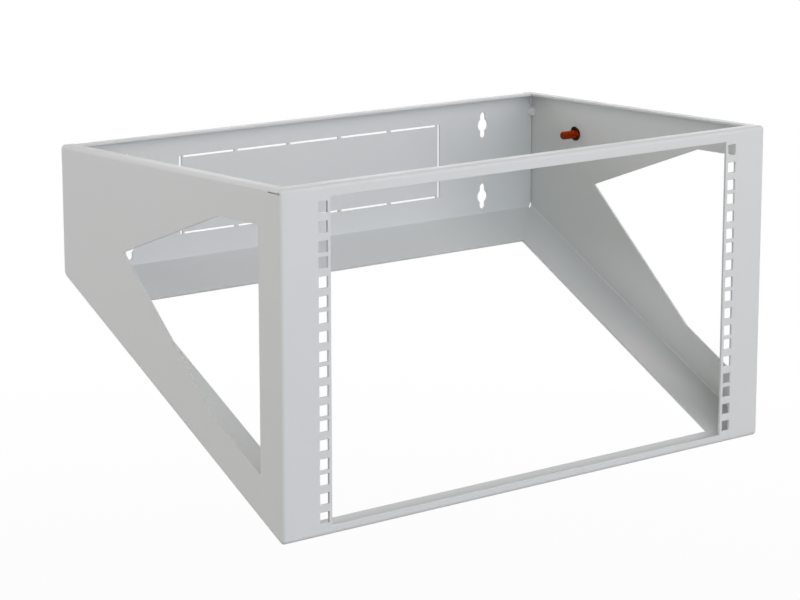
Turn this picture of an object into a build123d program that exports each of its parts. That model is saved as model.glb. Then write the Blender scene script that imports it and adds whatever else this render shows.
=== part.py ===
from build123d import *
import math
import os

# A wall mount open frame rack, folded from sheet steel, in millimetres.
# X is the width, Y points to the wall and Z up. The wall is the plane y = 0, and z = 0 is
# the middle of the four keyholes that the rack hangs on.

# Rack standard: unit height, square holes and the distance between their two columns
rack_units = 6
unit_height = 44.45
holes_per_unit = 3
hole_pitch = 15.875
rail_spacing = 465.1
square_hole = 9.5
rail_web = 2.8
opening_clearance = 1.4

# Sheet and bends
sheet = 2.0
bend_inside = 1.5
cut_corner = 1.0

# Body of the frame
rail_to_side = 42.45
depth = 312.0
back_height = 114.0
front_strip = 10.25
keyhole_middle_drop = 62.0
top_flange = 12.0
front_bottom_flange = 19.0
side_bottom_flange = 50.0

# Cut-out of each side wall: bands of sheet around it, and where its outline turns
cutout_front_band = 29.0
cutout_top_band = 31.0
cutout_slope_band = 33.5
cutout_top_run = 53.0
cutout_turn_depth = 92.0
cutout_tip_to_wall = 93.0
cutout_tip_drop = 81.0

# Flanges at the rear of the side walls, which lie on the wall and carry the back panel
return_flange = 15.0
return_leg = 6.0
return_top_gap = 12.0
return_bottom_gap = 4.5
rear_setback = 2.3
wall_corner_run = 5.0
ear_width = 11.0
ear_top_gap = 2.5

# Slit and round relief where the front, side and top folds meet
corner_slit_start = 2.5
corner_slit_length = 13.5
corner_slit_height = 1.0
corner_relief_radius = 1.0

# Back panel
flange_joint_gap = 0.5
corner_cut_height = 14.6
corner_hole_width = 3.7
corner_hole_rise = 2.3
corner_hole_drop = 1.8
keyhole_spacing = 416.0
keyhole_rise = 70.0
keyhole_head_radius = 6.5
keyhole_slot_width = 7.0
keyhole_length = 25.0
knockout_width = 300.0
knockout_height = 67.2
knockout_row_slit = 2.0
knockout_end_slit = 3.0
slits_per_row = 5
bridge = 3.4
weld_leg = 4.2
weld_length = 9.5
upper_weld_drop = 19.0
lower_weld_drop = 69.0

# Earthing stud on the inner face of the right side wall
stud_to_wall = 66.5
stud_drop = 35.0
stud_length = 17.5
stud_radius = 4.0
stud_tip = 0.6
stud_base_radius = 6.3
stud_base_thickness = 1.0
stud_collar_radius = 5.0
stud_collar_length = 1.5

# Sizes that follow
width = rail_spacing + 2 * rail_to_side
half_width = width / 2
opening_width = rail_spacing - square_hole - 2 * rail_web
bend_outside = bend_inside + sheet
opening_height = rack_units * unit_height + 2 * opening_clearance
front_height = opening_height + 2 * front_strip
top = keyhole_middle_drop
front_low = top - front_height
back_low = top - back_height
slope = math.atan2(front_height - back_height, depth)
slope_length = math.hypot(front_height - back_height, depth)
wall_inside = half_width - sheet
panel_half = wall_inside - bend_inside

front_plane = Plane.XZ.offset(depth)
front_middle = Pos(0, top - front_height / 2)
# The plane of the sloping bottom: its y runs up the slope, and its normal points inwards
slope_plane = Plane(
    origin=(0, -depth, front_low),
    x_dir=(1, 0, 0),
    z_dir=(0, -math.sin(slope), math.cos(slope)),
)


def slope_height(from_wall, band=0.0):
    """Height of the line that runs parallel to the sloping bottom, one band inside it."""
    return back_low - from_wall * math.tan(slope) + band / math.cos(slope)


# Folded frame: front ring, side walls, flanges round the top and along the slope
with BuildPart() as folded_frame:
    with BuildSketch(Plane.YZ):
        with BuildLine():
            Polyline((0, back_low), (0, top), (-depth, top), (-depth, front_low), close=True)
        make_face()
    extrude(amount=half_width, both=True)
    fillet(edges() - faces().sort_by(Axis.Y)[-1].edges(), bend_outside)
    offset(amount=-sheet, openings=faces().sort_by(Axis.Y)[-1])

    # Top, open between its flanges and open to the rear
    with BuildSketch(Plane.XY.offset(top)):
        with Locations((0, top_flange - depth)):
            Rectangle(width - 2 * top_flange, depth, align=(Align.CENTER, Align.MIN))
    extrude(amount=-2 * sheet, mode=Mode.SUBTRACT)

    # Sloping bottom, with its side flanges mitred to meet the flange of the back panel
    with BuildSketch(slope_plane):
        with BuildLine():
            Polyline(
                (0, front_bottom_flange),
                (half_width - side_bottom_flange, front_bottom_flange),
                (half_width - side_bottom_flange, slope_length - side_bottom_flange),
                (half_width, slope_length),
                (half_width, slope_length + sheet),
                (0, slope_length + sheet),
                close=True,
            )
        make_face()
        mirror(about=Plane.YZ)
    extrude(amount=2 * sheet, both=True, mode=Mode.SUBTRACT)

    # Cut-outs of the side walls
    with BuildSketch(Plane.YZ):
        with BuildLine():
            front_edge = cutout_front_band - depth
            turn = cutout_turn_depth - depth
            Polyline(
                (front_edge, top - cutout_top_band),
                (front_edge + cutout_top_run, top - cutout_top_band),
                (-cutout_tip_to_wall, top - cutout_tip_drop),
                (turn, slope_height(-turn, cutout_slope_band)),
                (front_edge, slope_height(-front_edge, cutout_slope_band)),
                close=True,
            )
        make_face()
        fillet(vertices(), cut_corner)
    extrude(amount=half_width, both=True, mode=Mode.SUBTRACT)

    # Rack opening and the square holes beside it
    with BuildSketch(front_plane):
        with Locations(front_middle):
            Rectangle(opening_width, opening_height)
            with GridLocations(rail_spacing, unit_height, 2, rack_units):
                with GridLocations(unit_height, hole_pitch, 1, holes_per_unit):
                    Rectangle(square_hole, square_hole)
    extrude(amount=-2 * sheet, mode=Mode.SUBTRACT)

    # Rear ends of the side walls, bent round into the return flanges
    return_low = back_low + return_bottom_gap
    return_height = top - return_top_gap - return_low
    with BuildSketch(Plane.XY.offset(return_low)):
        with Locations((half_width, 0)):
            Rectangle(bend_outside, return_leg, align=(Align.MAX, Align.MAX))
        mirror(about=Plane.YZ)
    extrude(amount=return_height, mode=Mode.SUBTRACT)
    with BuildSketch(Plane.XY.offset(return_low)):
        with BuildLine():
            Polyline(
                (wall_inside, -return_leg),
                (half_width, -return_leg),
                (half_width, 0),
                (half_width - return_flange, 0),
                (half_width - return_flange, -sheet),
                (wall_inside, -sheet),
                close=True,
            )
        make_face()
        fillet(vertices().sort_by_distance((half_width, 0))[0], bend_outside)
        fillet(vertices().sort_by_distance((wall_inside, -sheet))[0], bend_inside)
        mirror(about=Plane.YZ)
    extrude(amount=return_height)

    # Rear ends of the side walls above and below that bend, cut back to clear it
    with BuildSketch(Plane.YZ):
        with BuildLine():
            Polyline(
                (0, top - return_top_gap),
                (-rear_setback, top - return_top_gap),
                (-rear_setback, top),
                (0, top),
                close=True,
            )
        make_face()
        with BuildLine():
            Polyline(
                (0, back_low),
                (0, return_low),
                (-rear_setback, return_low),
                (-wall_corner_run, slope_height(wall_corner_run)),
                close=True,
            )
        make_face()
    extrude(amount=half_width, both=True, mode=Mode.SUBTRACT)

    # Ears of the return flanges, behind the cut upper corners of the back panel
    with BuildSketch(Plane.XZ):
        with Locations((half_width - return_flange, top - ear_top_gap)):
            Rectangle(ear_width, return_top_gap - ear_top_gap, align=(Align.MIN, Align.MAX))
        mirror(about=Plane.YZ)
    extrude(amount=sheet)

    # Slit and relief in each front upper corner, just under the top bend
    slit_plane = Plane.YZ.offset(half_width)
    slit_start = (corner_slit_start - depth, top - bend_outside)
    for side in (slit_plane, slit_plane.offset(-2 * half_width)):
        with BuildSketch(side):
            with Locations(slit_start):
                Rectangle(corner_slit_length, corner_slit_height, align=(Align.MIN, Align.CENTER))
                Circle(corner_relief_radius)
        extrude(amount=bend_outside, both=True, mode=Mode.SUBTRACT)

folded_frame.part.label = "folded_frame"

# Back panel: flat against the return flanges, with a flange along the top and up the slope
with BuildPart() as back_panel:
    with BuildSketch(Plane.YZ):
        with BuildLine():
            FilletPolyline(
                (-sheet - top_flange, top),
                (-sheet, top),
                (-sheet, slope_height(sheet)),
                (
                    -side_bottom_flange * math.cos(slope),
                    back_low - side_bottom_flange * math.sin(slope),
                ),
                radius=bend_outside,
            )
            offset(amount=sheet, side=Side.RIGHT)
        make_face()
    extrude(amount=panel_half, both=True)

    # Upper corners, cut to clear the side flanges of the frame
    flange_end = half_width - top_flange - flange_joint_gap
    with BuildSketch(Plane.XZ):
        with BuildLine():
            Polyline(
                (flange_end, top),
                (flange_end, top - sheet),
                (panel_half, top - corner_cut_height),
                (half_width, top - corner_cut_height),
                (half_width, top),
                close=True,
            )
        make_face()
        mirror(about=Plane.YZ)
    extrude(amount=2 * top_flange, mode=Mode.SUBTRACT)

    # Mitres of the bottom flange, on the line where the side flanges of the frame end
    with BuildSketch(slope_plane):
        with BuildLine():
            Polyline(
                (half_width - 2 * side_bottom_flange, slope_length - 2 * side_bottom_flange),
                (half_width, slope_length),
                (half_width, slope_length - 2 * side_bottom_flange),
                close=True,
            )
        make_face()
        mirror(about=Plane.YZ)
    extrude(amount=2 * sheet, both=True, mode=Mode.SUBTRACT)

    # Small holes in the lower corners, where the bends of panel and side wall meet
    with BuildSketch(Plane.XZ):
        with BuildLine():
            Polyline(
                (panel_half, back_low + corner_hole_rise),
                (panel_half - corner_hole_width, back_low - corner_hole_drop),
                (panel_half, back_low - corner_hole_drop),
                close=True,
            )
        make_face()
        mirror(about=Plane.YZ)
    extrude(amount=2 * bend_outside, mode=Mode.SUBTRACT)

    # Keyholes, open upwards and downwards
    with BuildSketch(Plane.XZ):
        with GridLocations(keyhole_spacing, keyhole_rise, 2, 2):
            Circle(keyhole_head_radius)
            SlotOverall(keyhole_length, keyhole_slot_width, rotation=90)
    extrude(amount=bend_outside + sheet, mode=Mode.SUBTRACT)

    # Knock-out: rows of slits with bridges between them, and a long slit at each end
    with BuildSketch(Plane.XZ):
        slit_pitch = knockout_width / slits_per_row
        row_distance = knockout_height + knockout_row_slit
        end_distance = knockout_width + knockout_end_slit
        with Locations((0, (top + back_low) / 2)):
            with GridLocations(slit_pitch, row_distance, slits_per_row, 2):
                Rectangle(slit_pitch - bridge, knockout_row_slit)
            with GridLocations(end_distance, row_distance, 2, 1):
                Rectangle(knockout_end_slit, row_distance + knockout_row_slit)
    extrude(amount=bend_outside + sheet, mode=Mode.SUBTRACT)

    # Tack welds in the corners between the panel and the side walls
    for drop in (upper_weld_drop, lower_weld_drop):
        weld_plane = Plane(
            origin=(wall_inside, -2 * sheet, top - drop),
            x_dir=(-1, 0, 0),
            z_dir=(0, 1, 0),
        )
        with BuildSketch(weld_plane):
            SlotOverall(weld_length, 2 * weld_leg, rotation=90)
            Rectangle(weld_leg, weld_length, align=(Align.MIN, Align.CENTER), mode=Mode.INTERSECT)
        bead = revolve(axis=Axis(weld_plane.origin, (0, 0, 1)), revolution_arc=90)
        mirror(bead, about=Plane.YZ)

back_panel.part.label = "back_panel"

# Earthing stud, welded by its base to the inner face of the right side wall
stud_plane = Plane(
    origin=(wall_inside, -stud_to_wall, top - stud_drop),
    x_dir=(-1, 0, 0),
    z_dir=(0, 1, 0),
)
with BuildPart() as earthing_stud:
    with BuildSketch(stud_plane):
        with BuildLine():
            Polyline(
                (0, 0),
                (0, stud_base_radius),
                (stud_base_thickness, stud_base_radius),
                (stud_base_thickness, stud_collar_radius),
                (stud_base_thickness + stud_collar_length, stud_radius),
                (stud_length - stud_tip, stud_radius),
                (stud_length, stud_radius - stud_tip),
                (stud_length, 0),
                close=True,
            )
        make_face()
    revolve(axis=Axis(stud_plane.origin, stud_plane.x_dir))

earthing_stud.part.label = "earthing_stud"

os.makedirs("parts", exist_ok=True)
for piece in (folded_frame, back_panel, earthing_stud):
    export_step(piece.part, f"parts/{piece.part.label}.step")
    print(piece.part.label, round(piece.part.volume), "mm3", len(piece.part.solids()), "solid")
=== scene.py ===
from math import atan2, cos, exp, pi, radians, sin

import bmesh
import bpy
from mathutils import Matrix, Vector


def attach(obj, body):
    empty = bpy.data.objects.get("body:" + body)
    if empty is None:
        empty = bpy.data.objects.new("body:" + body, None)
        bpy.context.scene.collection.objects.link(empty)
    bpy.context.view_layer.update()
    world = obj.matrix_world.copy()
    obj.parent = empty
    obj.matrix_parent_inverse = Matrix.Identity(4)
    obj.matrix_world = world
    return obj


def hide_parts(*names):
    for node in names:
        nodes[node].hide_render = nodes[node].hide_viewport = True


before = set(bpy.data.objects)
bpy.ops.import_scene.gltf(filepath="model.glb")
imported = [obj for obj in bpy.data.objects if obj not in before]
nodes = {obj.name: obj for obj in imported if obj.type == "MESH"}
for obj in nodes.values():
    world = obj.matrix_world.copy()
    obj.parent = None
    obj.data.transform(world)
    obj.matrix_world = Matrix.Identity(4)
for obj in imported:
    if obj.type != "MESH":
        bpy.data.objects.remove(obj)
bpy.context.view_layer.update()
scene = bpy.context.scene
print("frame loaded:", ", ".join(sorted(nodes)))


def direction(azimuth, elevation):
    a, e = radians(azimuth), radians(elevation)
    return Vector((sin(a) * cos(e), -cos(a) * cos(e), sin(e)))


def facing(away, place):
    turn = (-away).to_track_quat("-Z", "Y").to_matrix().to_4x4()
    return Matrix.Translation(place) @ turn


# Standpoint and lens of the photograph, from its square holes and bend lines
camera = {
    "place": (-1.5487, -1.9866, 0.4132),
    "azimuth": -39.796,
    "elevation": 11.777,
    "roll": -0.046,
    "lens": 123.453,
    "sensor": 36.0,
    "clipEnd": 60.0,
}


def addCamera(settings):
    data = bpy.data.cameras.new("camera")
    data.lens = settings["lens"]
    data.sensor_width = settings["sensor"]
    data.clip_end = settings["clipEnd"]
    holder = bpy.data.objects.new("camera", data)
    scene.collection.objects.link(holder)
    away = direction(settings["azimuth"], settings["elevation"])
    roll = Matrix.Rotation(radians(settings["roll"]), 4, "Z")
    holder.matrix_world = facing(away, settings["place"]) @ roll
    scene.camera = holder


addCamera(camera)
print("camera placed")

# Small helpers for node trees
white = (1.0, 1.0, 1.0, 1.0)
noiseLow, noiseHigh = 0.3, 0.7  # most values of a noise lie between these


def join(tree, source, target):
    tree.links.new(source, target)


def setInput(tree, socket, value):
    if isinstance(value, bpy.types.NodeSocket):
        join(tree, value, socket)
    else:
        socket.default_value = value


def maths(tree, operation, *values):
    node = tree.nodes.new("ShaderNodeMath")
    node.operation = operation
    for socket, value in zip(node.inputs, values):
        setInput(tree, socket, value)
    return node.outputs["Value"]


def noise(tree, place, scale, detail=2.0, roughness=0.5):
    node = tree.nodes.new("ShaderNodeTexNoise")
    join(tree, place, node.inputs["Vector"])
    setInput(tree, node.inputs["Scale"], scale)
    node.inputs["Detail"].default_value = detail
    node.inputs["Roughness"].default_value = roughness
    return node.outputs["Fac"]


def remap(tree, value, low, high, newLow, newHigh):
    node = tree.nodes.new("ShaderNodeMapRange")
    join(tree, value, node.inputs["Value"])
    ends = {"From Min": low, "From Max": high, "To Min": newLow, "To Max": newHigh}
    for label, number in ends.items():
        setInput(tree, node.inputs[label], number)
    return node.outputs["Result"]


def blendColours(tree, mask, first, second):
    node = tree.nodes.new("ShaderNodeMix")
    node.data_type = "RGBA"
    join(tree, mask, node.inputs["Factor"])
    setInput(tree, node.inputs["A"], first)
    setInput(tree, node.inputs["B"], second)
    return node.outputs["Result"]


def addBump(tree, shader, height, settings, normal=None):
    node = tree.nodes.new("ShaderNodeBump")
    node.inputs["Strength"].default_value = settings["bump"]
    node.inputs["Distance"].default_value = settings["depth"]
    join(tree, height, node.inputs["Height"])
    if normal:
        join(tree, normal, node.inputs["Normal"])
    join(tree, node.outputs["Normal"], shader["Normal"])


def newGroup(name, inputs, outputs):
    group = bpy.data.node_groups.new(name, "ShaderNodeTree")
    for label, kind, value in inputs:
        socket = group.interface.new_socket(label, in_out="INPUT", socket_type="NodeSocket" + kind)
        socket.default_value = value
    for label, kind in outputs:
        group.interface.new_socket(label, in_out="OUTPUT", socket_type="NodeSocket" + kind)
    given = group.nodes.new("NodeGroupInput").outputs
    result = group.nodes.new("NodeGroupOutput").inputs
    return group, given, result


def useGroup(tree, group, values):
    node = tree.nodes.new("ShaderNodeGroup")
    node.node_tree = group
    for label, value in values.items():
        setInput(tree, node.inputs[label], value)
    return node.outputs


def newMaterial(name):
    material = bpy.data.materials.new(name)
    material.use_nodes = True
    tree = material.node_tree
    return material, tree, tree.nodes["Principled BSDF"].inputs


def objectPlace(tree):
    return tree.nodes.new("ShaderNodeTexCoord").outputs["Object"]


# Grey powder coat of the frame, and its small differences on the panel and the welds
framePaint = {
    "coat": (0.60, 0.62, 0.63, 1.0),
    "edgeHighlight": (0.66, 0.675, 0.68, 1.0),  # on cut edges, lighter where the coat draws thin, as a painted edge highlight
    "highlightFrom": 0.02,
    "highlightTo": 0.25,
    "drift": 0.02,
    "driftScale": 9.0,
    "peelScale": 420.0,
    "grainScale": 2600.0,
    "grainShare": 0.3,
    "smoothest": 0.42,
    "roughest": 0.54,
    "bump": 0.07,
    "depth": 0.0006,
}
panelPaint = dict(framePaint, drift=0.016, peelScale=390.0)
weldPaint = dict(framePaint, drift=0.05, peelScale=700.0, bump=0.3)
cutEdge = {"radius": 0.0006, "samples": 6}


# Cured powder coat: orange peel, fine grain and a slow drift of tone and gloss
def buildPowderGroup(usual):
    group, given, result = newGroup(
        "powderCoat",
        (
            ("Coat", "Color", usual["coat"]),
            ("Drift", "Float", usual["drift"]),
            ("Drift Scale", "Float", usual["driftScale"]),
            ("Peel Scale", "Float", usual["peelScale"]),
            ("Grain Scale", "Float", usual["grainScale"]),
            ("Grain Share", "Float", usual["grainShare"]),
            ("Smoothest", "Float", usual["smoothest"]),
            ("Roughest", "Float", usual["roughest"]),
        ),
        (("Colour", "Color"), ("Roughness", "Float"), ("Height", "Float")),
    )
    place = objectPlace(group)
    peel = noise(group, place, given["Peel Scale"], 2.0)
    grain = noise(group, place, given["Grain Scale"], 1.0)
    slow = noise(group, place, given["Drift Scale"], 3.0)
    height = maths(group, "MULTIPLY_ADD", grain, given["Grain Share"], peel)
    join(group, height, result["Height"])
    tone = maths(group, "SUBTRACT", maths(group, "ADD", slow, grain), 1.0)
    tone = maths(group, "MULTIPLY_ADD", tone, given["Drift"], 1.0)
    colour = group.nodes.new("ShaderNodeVectorMath")
    colour.operation = "SCALE"
    join(group, given["Coat"], colour.inputs[0])
    join(group, tone, colour.inputs["Scale"])
    join(group, colour.outputs["Vector"], result["Colour"])
    gloss = remap(group, slow, noiseLow, noiseHigh, given["Smoothest"], given["Roughest"])
    join(group, gloss, result["Roughness"])
    return group


# Cut edges rounded under the coat, and a mask of them, where the coat draws thin and is painted
# lighter as an edge highlight
def buildEdgeGroup(usual, settings):
    group, given, result = newGroup(
        "cutEdge",
        (("Highlight From", "Float", usual["highlightFrom"]), ("Highlight To", "Float", usual["highlightTo"])),
        (("Normal", "Vector"), ("Edge", "Float")),
    )
    soft = group.nodes.new("ShaderNodeBevel")
    soft.samples = settings["samples"]
    soft.inputs["Radius"].default_value = settings["radius"]
    true = group.nodes.new("ShaderNodeNewGeometry")
    agree = group.nodes.new("ShaderNodeVectorMath")
    agree.operation = "DOT_PRODUCT"
    join(group, soft.outputs["Normal"], agree.inputs[0])
    join(group, true.outputs["Normal"], agree.inputs[1])
    off = maths(group, "SUBTRACT", 1.0, agree.outputs["Value"])
    join(group, soft.outputs["Normal"], result["Normal"])
    mask = remap(group, off, given["Highlight From"], given["Highlight To"], 0.0, 1.0)
    join(group, mask, result["Edge"])
    return group


powderGroup = buildPowderGroup(framePaint)
edgeGroup = buildEdgeGroup(framePaint, cutEdge)
print("finishes ready")


def paintMaterial(name, settings):
    material, tree, shader = newMaterial(name)
    coat = useGroup(tree, powderGroup, {
        "Coat": settings["coat"],
        "Drift": settings["drift"],
        "Drift Scale": settings["driftScale"],
        "Peel Scale": settings["peelScale"],
        "Grain Scale": settings["grainScale"],
        "Grain Share": settings["grainShare"],
        "Smoothest": settings["smoothest"],
        "Roughest": settings["roughest"],
    })
    edge = useGroup(tree, edgeGroup, {
        "Highlight From": settings["highlightFrom"],
        "Highlight To": settings["highlightTo"],
    })
    # painted highlight: the cut edges are made lighter than the coat
    colour = blendColours(tree, edge["Edge"], coat["Colour"], settings["edgeHighlight"])
    join(tree, colour, shader["Base Color"])
    join(tree, coat["Roughness"], shader["Roughness"])
    addBump(tree, shader, coat["Height"], settings, edge["Normal"])
    return material


def dressNode(name, material):
    for slot in nodes[name].material_slots:
        slot.material = material


weldMaterial = paintMaterial("weldPaint", weldPaint)
dressNode("folded_frame", paintMaterial("framePaint", framePaint))
dressNode("back_panel", paintMaterial("panelPaint", panelPaint))
print("frame and back panel painted")

# Small helpers for new pieces
mergeDistance = 1e-6


def addPiece(name, bm, smoothAngle):
    mesh = bpy.data.meshes.new(name)
    bm.to_mesh(mesh)
    bm.free()
    holder = bpy.data.objects.new(name, mesh)
    scene.collection.objects.link(holder)
    mesh.shade_smooth()
    mesh.set_sharp_from_angle(angle=radians(smoothAngle))
    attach(holder, "root")
    return holder


def takeIn(bm, part):
    spare = bpy.data.meshes.new("spare")
    part.to_mesh(spare)
    part.free()
    bm.from_mesh(spare)
    bpy.data.meshes.remove(spare)


def spinWire(points, steps, turns=1, rise=0.0):
    bm = bmesh.new()
    verts = [bm.verts.new(point) for point in points]
    edges = [bm.edges.new(pair) for pair in zip(verts, verts[1:])]
    bmesh.ops.spin(
        bm, geom=verts + edges, cent=(0, 0, 0), axis=(0, 0, 1), dvec=(0, 0, rise),
        angle=2 * pi * turns, steps=steps * turns, use_merge=not rise,
    )
    bmesh.ops.remove_doubles(bm, verts=bm.verts, dist=mergeDistance)
    return bm


def cutOff(bm, point, outward):
    cut = bmesh.ops.bisect_plane(
        bm, geom=bm.verts[:] + bm.edges[:] + bm.faces[:],
        plane_co=point, plane_no=outward, clear_outer=True,
    )
    rim = [e for e in cut["geom_cut"] if isinstance(e, bmesh.types.BMEdge)]
    bmesh.ops.edgenet_fill(bm, edges=rim)


# Earthing stud: rolled thread on a welded foot, copper plated, with a scorched ring round the
# foot, painted black above the stud's axis as shade
stud = {
    "foot": (0.273, -0.0665, 0.027),
    "length": 0.0175,
    "crest": 0.0039,
    "root": 0.0033,
    "pitch": 0.00125,
    "flanks": (("root", 0.0), ("root", 0.2), ("crest", 0.53), ("crest", 0.67), ("root", 1.0)),
    "steps": 36,
    "tip": 0.0006,
    "cone": 0.0042,
    "coneEnd": 0.0025,
    "disc": 0.0061,
    "discTop": 0.001,
    "sunk": 0.0002,
    "soft": 0.0003,
    "fillet": 0.0004,
    "smooth": 28.0,
    "flash": {
        "inner": 0.0011,  # inside the disc's rim
        "outer": 0.0002,  # past the disc's rim
        "height": 0.0006,
        "hair": 0.0001,
        "heading": 0.36,  # where the flash runs out, as an angle off the top
        "spread": 0.42,
        "share": 0.2,
        "innerShare": 0.2,
        "lift": 0.0006,
        "waves": ((0.012, 9, 0), (0.01, 14, 1)),
        "ripple": (0.0001, 11, 2),
    },
    "plating": {
        "copper": (0.18, 0.0165, 0.0012, 1.0),
        "bright": (0.27, 0.036, 0.005, 1.0),
        "patchScale": 620.0,
        "patchFrom": 0.35,
        "patchTo": 0.7,
        "rough": 0.5,
        "polished": 0.34,
        "grainScale": 3000.0,
        "bump": 0.2,
        "depth": 0.0002,
    },
    # Ring colours: weld scorch, with painted shade that turns it black above the axis
    "scorchAndShade": {
        "burnt": (0.003, 0.0025, 0.0025, 1.0),
        "ember": (0.065, 0.005, 0.003, 1.0),
        "from": 0.001,  # above the stud's axis
        "most": 0.9,
        "flakeScale": 1500.0,
        "flakeShare": 0.5,
        "smoothest": 0.5,
        "roughest": 0.8,
        "shine": 0.12,
        "bump": 0.6,
        "depth": 0.0003,
    },
}


def copperMaterial(settings):
    material, tree, shader = newMaterial("studCopper")
    place = objectPlace(tree)
    blotch = noise(tree, place, settings["patchScale"], 4.0, 0.6)
    mask = remap(tree, blotch, settings["patchFrom"], settings["patchTo"], 0.0, 1.0)
    colour = blendColours(tree, mask, settings["copper"], settings["bright"])
    join(tree, colour, shader["Base Color"])
    gloss = remap(tree, blotch, noiseLow, noiseHigh, settings["rough"], settings["polished"])
    join(tree, gloss, shader["Roughness"])
    shader["Metallic"].default_value = 1.0
    addBump(tree, shader, noise(tree, place, settings["grainScale"]), settings)
    return material


# Weld scorch round the foot with painted shade: black above the stud's axis, going over to a dull
# ember red below it
def scorchAndShadeMaterial(settings, axisHeight, blackHeight):
    material, tree, shader = newMaterial("scorchAndShadeRing")
    place = objectPlace(tree)
    flake = noise(tree, place, settings["flakeScale"], 4.0, 0.65)
    height = tree.nodes.new("ShaderNodeSeparateXYZ")
    join(tree, place, height.inputs["Vector"])
    low, high = axisHeight + settings["from"], axisHeight + blackHeight
    share = settings["flakeShare"]
    # painted shade: darker with height above the stud's axis
    scorchAndShade = remap(tree, height.outputs["Z"], low, high, 0.0, settings["most"])
    scorchAndShade = maths(tree, "SUBTRACT", scorchAndShade, share / 2)
    scorchAndShade = maths(tree, "MULTIPLY_ADD", flake, share, scorchAndShade)
    scorchAndShade = maths(tree, "MINIMUM", maths(tree, "MAXIMUM", scorchAndShade, 0.0), 1.0)
    colour = blendColours(tree, scorchAndShade, settings["ember"], settings["burnt"])
    join(tree, colour, shader["Base Color"])
    gloss = remap(tree, flake, noiseLow, noiseHigh, settings["smoothest"], settings["roughest"])
    join(tree, gloss, shader["Roughness"])
    shader["Specular IOR Level"].default_value = settings["shine"]
    addBump(tree, shader, flake, settings)
    return material


# One pitch of the thread carried up its helix, trimmed at both ends, with a turned lead
def threadedShank(settings):
    pitch, steps, length, coneEnd = (settings[k] for k in ("pitch", "steps", "length", "coneEnd"))
    start = coneEnd - 2 * pitch
    turns = int((length - start) / pitch) + 2
    flanks = [(settings[edge], 0, start + part * pitch) for edge, part in settings["flanks"]]
    bm = spinWire(flanks, steps, turns, pitch / steps)
    cutOff(bm, (0, 0, length), (0, 0, 1))
    cutOff(bm, (0, 0, coneEnd - settings["soft"]), (0, 0, -1))
    shoulder = length - settings["tip"]
    for v in bm.verts:
        most = settings["crest"] - max(0.0, v.co.z - shoulder)
        radius = v.co.xy.length
        if radius > most:
            v.co.x *= most / radius
            v.co.y *= most / radius
    return bm


# Disc against the wall and the cone up to the thread
def studFoot(settings):
    disc, top, cone, coneEnd = (settings[k] for k in ("disc", "discTop", "cone", "coneEnd"))
    sunk, soft, fillet = (settings[k] for k in ("sunk", "soft", "fillet"))
    bm = spinWire((
        (0, 0, -sunk), (disc, 0, -sunk), (disc, 0, top - soft), (disc - soft, 0, top),
        (cone + soft, 0, top), (cone, 0, top + fillet),
        (settings["crest"], 0, coneEnd), (0, 0, coneEnd),
    ), settings["steps"])
    for face in bm.faces:
        face.material_index = int(face.calc_center_median().xy.length > cone + fillet)
    return bm


# Weld flash standing up round the disc, uneven, and run out to one side at the top
def weldFlash(settings):
    disc, top, sunk = (settings[k] for k in ("disc", "discTop", "sunk"))
    soft, fillet, flash = (settings[k] for k in ("soft", "fillet", "flash"))
    inner, outer, hair = disc - flash["inner"], disc + flash["outer"], flash["hair"]
    rim = top + flash["height"]
    bm = spinWire((
        (inner, 0, -sunk), (inner, 0, top), (inner + soft, 0, rim - hair),
        (disc - fillet, 0, rim), (disc, 0, rim - soft), (outer, 0, top - fillet),
        (outer, 0, -sunk), (inner, 0, -sunk),
    ), 2 * settings["steps"])
    for face in bm.faces:
        face.material_index = 1
    rippleHeight, ripples, rippleShift = flash["ripple"]
    for v in bm.verts:
        angle = atan2(v.co.y, v.co.x)
        run = flash["share"] * exp(-((angle - flash["heading"]) / flash["spread"]) ** 2)
        wave = sum(reach * sin(count * angle + shift) for reach, count, shift in flash["waves"])
        if v.co.xy.length < inner + hair:
            run *= flash["innerShare"]
        v.co.x *= 1 + run + wave
        v.co.y *= 1 + run + wave
        if v.co.z > top + hair:
            v.co.z += flash["lift"] * run / flash["share"]
            v.co.z += rippleHeight * sin(ripples * angle + rippleShift)
    return bm


def addStud(settings):
    bm = threadedShank(settings)
    takeIn(bm, studFoot(settings))
    takeIn(bm, weldFlash(settings))
    bmesh.ops.recalc_face_normals(bm, faces=bm.faces)
    turn = Matrix.Rotation(radians(-90), 3, "Y")  # out of the right wall, into the rack
    bmesh.ops.rotate(bm, verts=bm.verts, cent=(0, 0, 0), matrix=turn)
    bmesh.ops.translate(bm, verts=bm.verts, vec=settings["foot"])
    holder = addPiece("earthingStud", bm, settings["smooth"])
    axisHeight = settings["foot"][2]
    holder.data.materials.append(copperMaterial(settings["plating"]))
    # the ring and flash take the scorch material, with its painted shade above the axis
    holder.data.materials.append(scorchAndShadeMaterial(settings["scorchAndShade"], axisHeight, settings["cone"]))
    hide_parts("earthing_stud")


addStud(stud)
print("earthing stud threaded")

# Tack welds in the rear corners, painted over: two on each side
tackWelds = {
    "corner": (0.273, -0.004),
    "heights": (0.043, -0.007),
    "reach": (0.0056, 0.0046, 0.0053),
    "segments": (40, 32),
    "sunk": 0.0004,
    "blunt": 0.3,  # ends blunter than a ball has
    "ripple": 0.035,
    "ripples": 5.0,
    "slant": 2.0,
    "lump": 0.04,
    "lumps": (3.1, 2.3),
    "smooth": 50.0,
}


def weldBead(settings, side, row):
    around, along = settings["segments"]
    lumpsY, lumpsZ = settings["lumps"]
    bead = bmesh.new()
    bmesh.ops.create_uvsphere(bead, u_segments=around, v_segments=along, radius=1.0)
    for v in bead.verts:
        x, y, z = v.co
        wave = sin(z * pi * settings["ripples"] + settings["slant"] * x * side + row)
        lump = sin(lumpsY * y + lumpsZ * z + side)
        square = 1 + settings["blunt"] * abs(z) * (1 - abs(z))
        v.co *= square * (1 + settings["ripple"] * wave + settings["lump"] * lump)
    bmesh.ops.scale(bead, verts=bead.verts, vec=settings["reach"])
    return bead


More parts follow.
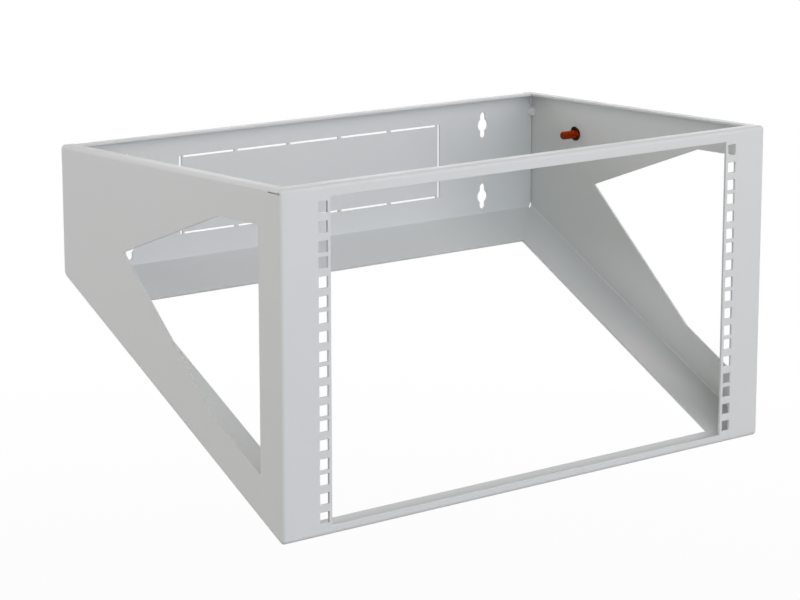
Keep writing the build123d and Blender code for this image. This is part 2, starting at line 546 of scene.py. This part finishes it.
def addTackWelds(settings):
    cornerX, cornerY = settings["corner"]
    sunk = settings["sunk"]
    bm = bmesh.new()
    for row, height in enumerate(settings["heights"]):
        for side in (1, -1):
            bead = weldBead(settings, side, row)
            bmesh.ops.translate(bead, verts=bead.verts, vec=(side * cornerX, cornerY, height))
            cutOff(bead, (side * (cornerX + sunk), 0, 0), (side, 0, 0))
            cutOff(bead, (0, cornerY + sunk, 0), (0, 1, 0))
            takeIn(bm, bead)
    bmesh.ops.recalc_face_normals(bm, faces=bm.faces)
    holder = addPiece("tackWelds", bm, settings["smooth"])
    holder.data.materials.append(weldMaterial)


addTackWelds(tackWelds)
print("tack welds laid")

# Seam welds closing the rear upper corners, where the side walls' ends are cut back
cornerSeams = {
    "place": (0.2727, -0.0018, 0.0515),
    "tilt": 0.0,  # upright
    "half": 0.0084,
    "radius": 0.0017,
    "pitch": 0.0012,
    "ripple": 0.05,
    "rows": 56,
    "sides": 20,
    "endPower": 8,
    "smooth": 60.0,
}

# Root welds inside the slits at the front upper corners, which keep the slits dark
slitWelds = dict(
    cornerSeams, place=(0.2719, -0.3026, 0.0585), tilt=90.0,
    half=0.0083, radius=0.0012, pitch=0.0011, rows=48,
)


def wavyBead(settings):
    half, radius, rows = (settings[k] for k in ("half", "radius", "rows"))
    ripple, pitch, power = (settings[k] for k in ("ripple", "pitch", "endPower"))
    points = [(0, 0, -half)]
    for row in range(1, rows):
        height = (2 * row / rows - 1) * half
        wave = 1 + ripple * cos(2 * pi * height / pitch)
        ends = (1 - (height / half) ** power) ** 0.5
        points.append((radius * wave * ends, 0, height))
    points.append((0, 0, half))
    return spinWire(points, settings["sides"])


def addSeams(name, settings):
    x, y, z = settings["place"]
    tilt = Matrix.Rotation(radians(settings["tilt"]), 3, "X")
    bm = bmesh.new()
    for side in (1, -1):
        seam = wavyBead(settings)
        bmesh.ops.rotate(seam, verts=seam.verts, cent=(0, 0, 0), matrix=tilt)
        bmesh.ops.translate(seam, verts=seam.verts, vec=(side * x, y, z))
        takeIn(bm, seam)
    bmesh.ops.recalc_face_normals(bm, faces=bm.faces)
    holder = addPiece(name, bm, settings["smooth"])
    holder.data.materials.append(weldMaterial)


addSeams("cornerSeams", cornerSeams)
addSeams("slitWelds", slitWelds)
print("corner seams and slit welds laid")

# Pale floor under the hanging rack, white to the camera away from the shadow, clear from below
floor = {
    "reach": 14.0,
    "squares": 8,
    "height": -0.52,
    "colour": (0.2, 0.2, 0.2, 1.0),
    "roughness": 0.8,
    "nearShare": 0.95,
    "near": 0.3,
    "far": 1.6,
}


def whiteSeen(tree):
    rays = tree.nodes.new("ShaderNodeLightPath").outputs
    seen = maths(tree, "MAXIMUM", rays["Is Camera Ray"], rays["Is Glossy Ray"])
    return maths(tree, "MAXIMUM", seen, rays["Is Transmission Ray"])


def mixShaders(tree, factor, first, second):
    node = tree.nodes.new("ShaderNodeMixShader")
    join(tree, factor, node.inputs["Fac"])
    join(tree, first, node.inputs[1])
    join(tree, second, node.inputs[2])
    return node.outputs["Shader"]


def floorMaterial(settings):
    material, tree, shader = newMaterial("paleFloor")
    shader["Base Color"].default_value = settings["colour"]
    shader["Roughness"].default_value = settings["roughness"]
    distance = tree.nodes.new("ShaderNodeVectorMath")
    distance.operation = "LENGTH"
    join(tree, objectPlace(tree), distance.inputs[0])
    away = distance.outputs["Value"]
    share = remap(tree, away, settings["near"], settings["far"], settings["nearShare"], 1.0)
    matt = tree.nodes["Principled BSDF"].outputs["BSDF"]
    glow = tree.nodes.new("ShaderNodeEmission").outputs["Emission"]
    clear = tree.nodes.new("ShaderNodeBsdfTransparent").outputs["BSDF"]
    behind = tree.nodes.new("ShaderNodeNewGeometry").outputs["Backfacing"]
    above = mixShaders(tree, maths(tree, "MULTIPLY", whiteSeen(tree), share), matt, glow)
    surface = mixShaders(tree, behind, above, clear)
    join(tree, surface, tree.nodes["Material Output"].inputs["Surface"])
    return material


def addFloor(settings):
    squares = settings["squares"]
    bm = bmesh.new()
    bmesh.ops.create_grid(bm, x_segments=squares, y_segments=squares, size=settings["reach"])
    bmesh.ops.translate(bm, verts=bm.verts, vec=(0, 0, settings["height"]))
    mesh = bpy.data.meshes.new("floor")
    bm.to_mesh(mesh)
    bm.free()
    holder = bpy.data.objects.new("floor", mesh)
    scene.collection.objects.link(holder)
    mesh.materials.append(floorMaterial(settings))


addFloor(floor)

sky = {"colour": white, "strength": 0.08}


def addSky(settings):
    world = bpy.data.worlds.new("sky")
    scene.world = world
    world.use_nodes = True
    tree = world.node_tree
    light = tree.nodes["Background"]
    light.inputs["Color"].default_value = settings["colour"]
    light.inputs["Strength"].default_value = settings["strength"]
    plain = tree.nodes.new("ShaderNodeBackground")
    plain.inputs["Color"].default_value = white
    seen = mixShaders(
        tree, whiteSeen(tree), light.outputs["Background"], plain.outputs["Background"],
    )
    join(tree, seen, tree.nodes["World Output"].inputs["Surface"])


addSky(sky)
print("floor and sky ready")

# Large soft round lamps: azimuth, elevation, watts, colour
lamps = {
    "aim": (0.0, -0.156, -0.06),
    "distance": 3.5,
    "size": 2.0,
    "rows": {
        "behindRightHigh": (135, 66, 11.5, (1.00, 0.89, 0.75)),
        "behindLeft": (-135, 10, 32.7, (0.85, 0.83, 1.00)),
        "behindLeftHigh": (-135, 38, 13.2, (1.00, 0.91, 0.92)),
        "behind": (180, 38, 16.5, (1.00, 0.93, 0.98)),
        "behindRight": (135, 10, 18.9, (0.91, 0.98, 1.00)),
        "left": (-95, 10, 25.7, (1.00, 0.93, 0.72)),
        "leftHigh": (-60, 38, 5.3, (0.91, 1.00, 0.68)),
        "frontLeft": (-25, 10, 29.2, (0.95, 0.99, 1.00)),
        "frontLeftHigh": (-25, 38, 14.2, (1.00, 0.94, 0.93)),
        "front": (10, 10, 29.0, (0.90, 0.90, 1.00)),
        "frontHigh": (10, 38, 12.2, (0.78, 0.92, 1.00)),
        "right": (45, 10, 26.8, (1.00, 0.92, 0.82)),
        "rightHigh": (45, 38, 13.7, (1.00, 0.88, 0.84)),
    },
}


def addLamps(settings):
    aim = Vector(settings["aim"])
    for name, (azimuth, elevation, watts, colour) in settings["rows"].items():
        data = bpy.data.lights.new(name, "AREA")
        data.shape = "DISK"
        data.size = settings["size"]
        data.energy = watts
        data.color = colour
        holder = bpy.data.objects.new(name, data)
        away = direction(azimuth, elevation)
        holder.matrix_world = facing(away, aim + away * settings["distance"])
        scene.collection.objects.link(holder)


addLamps(lamps)
scene.view_settings.view_transform = "Standard"
print("studio lit")
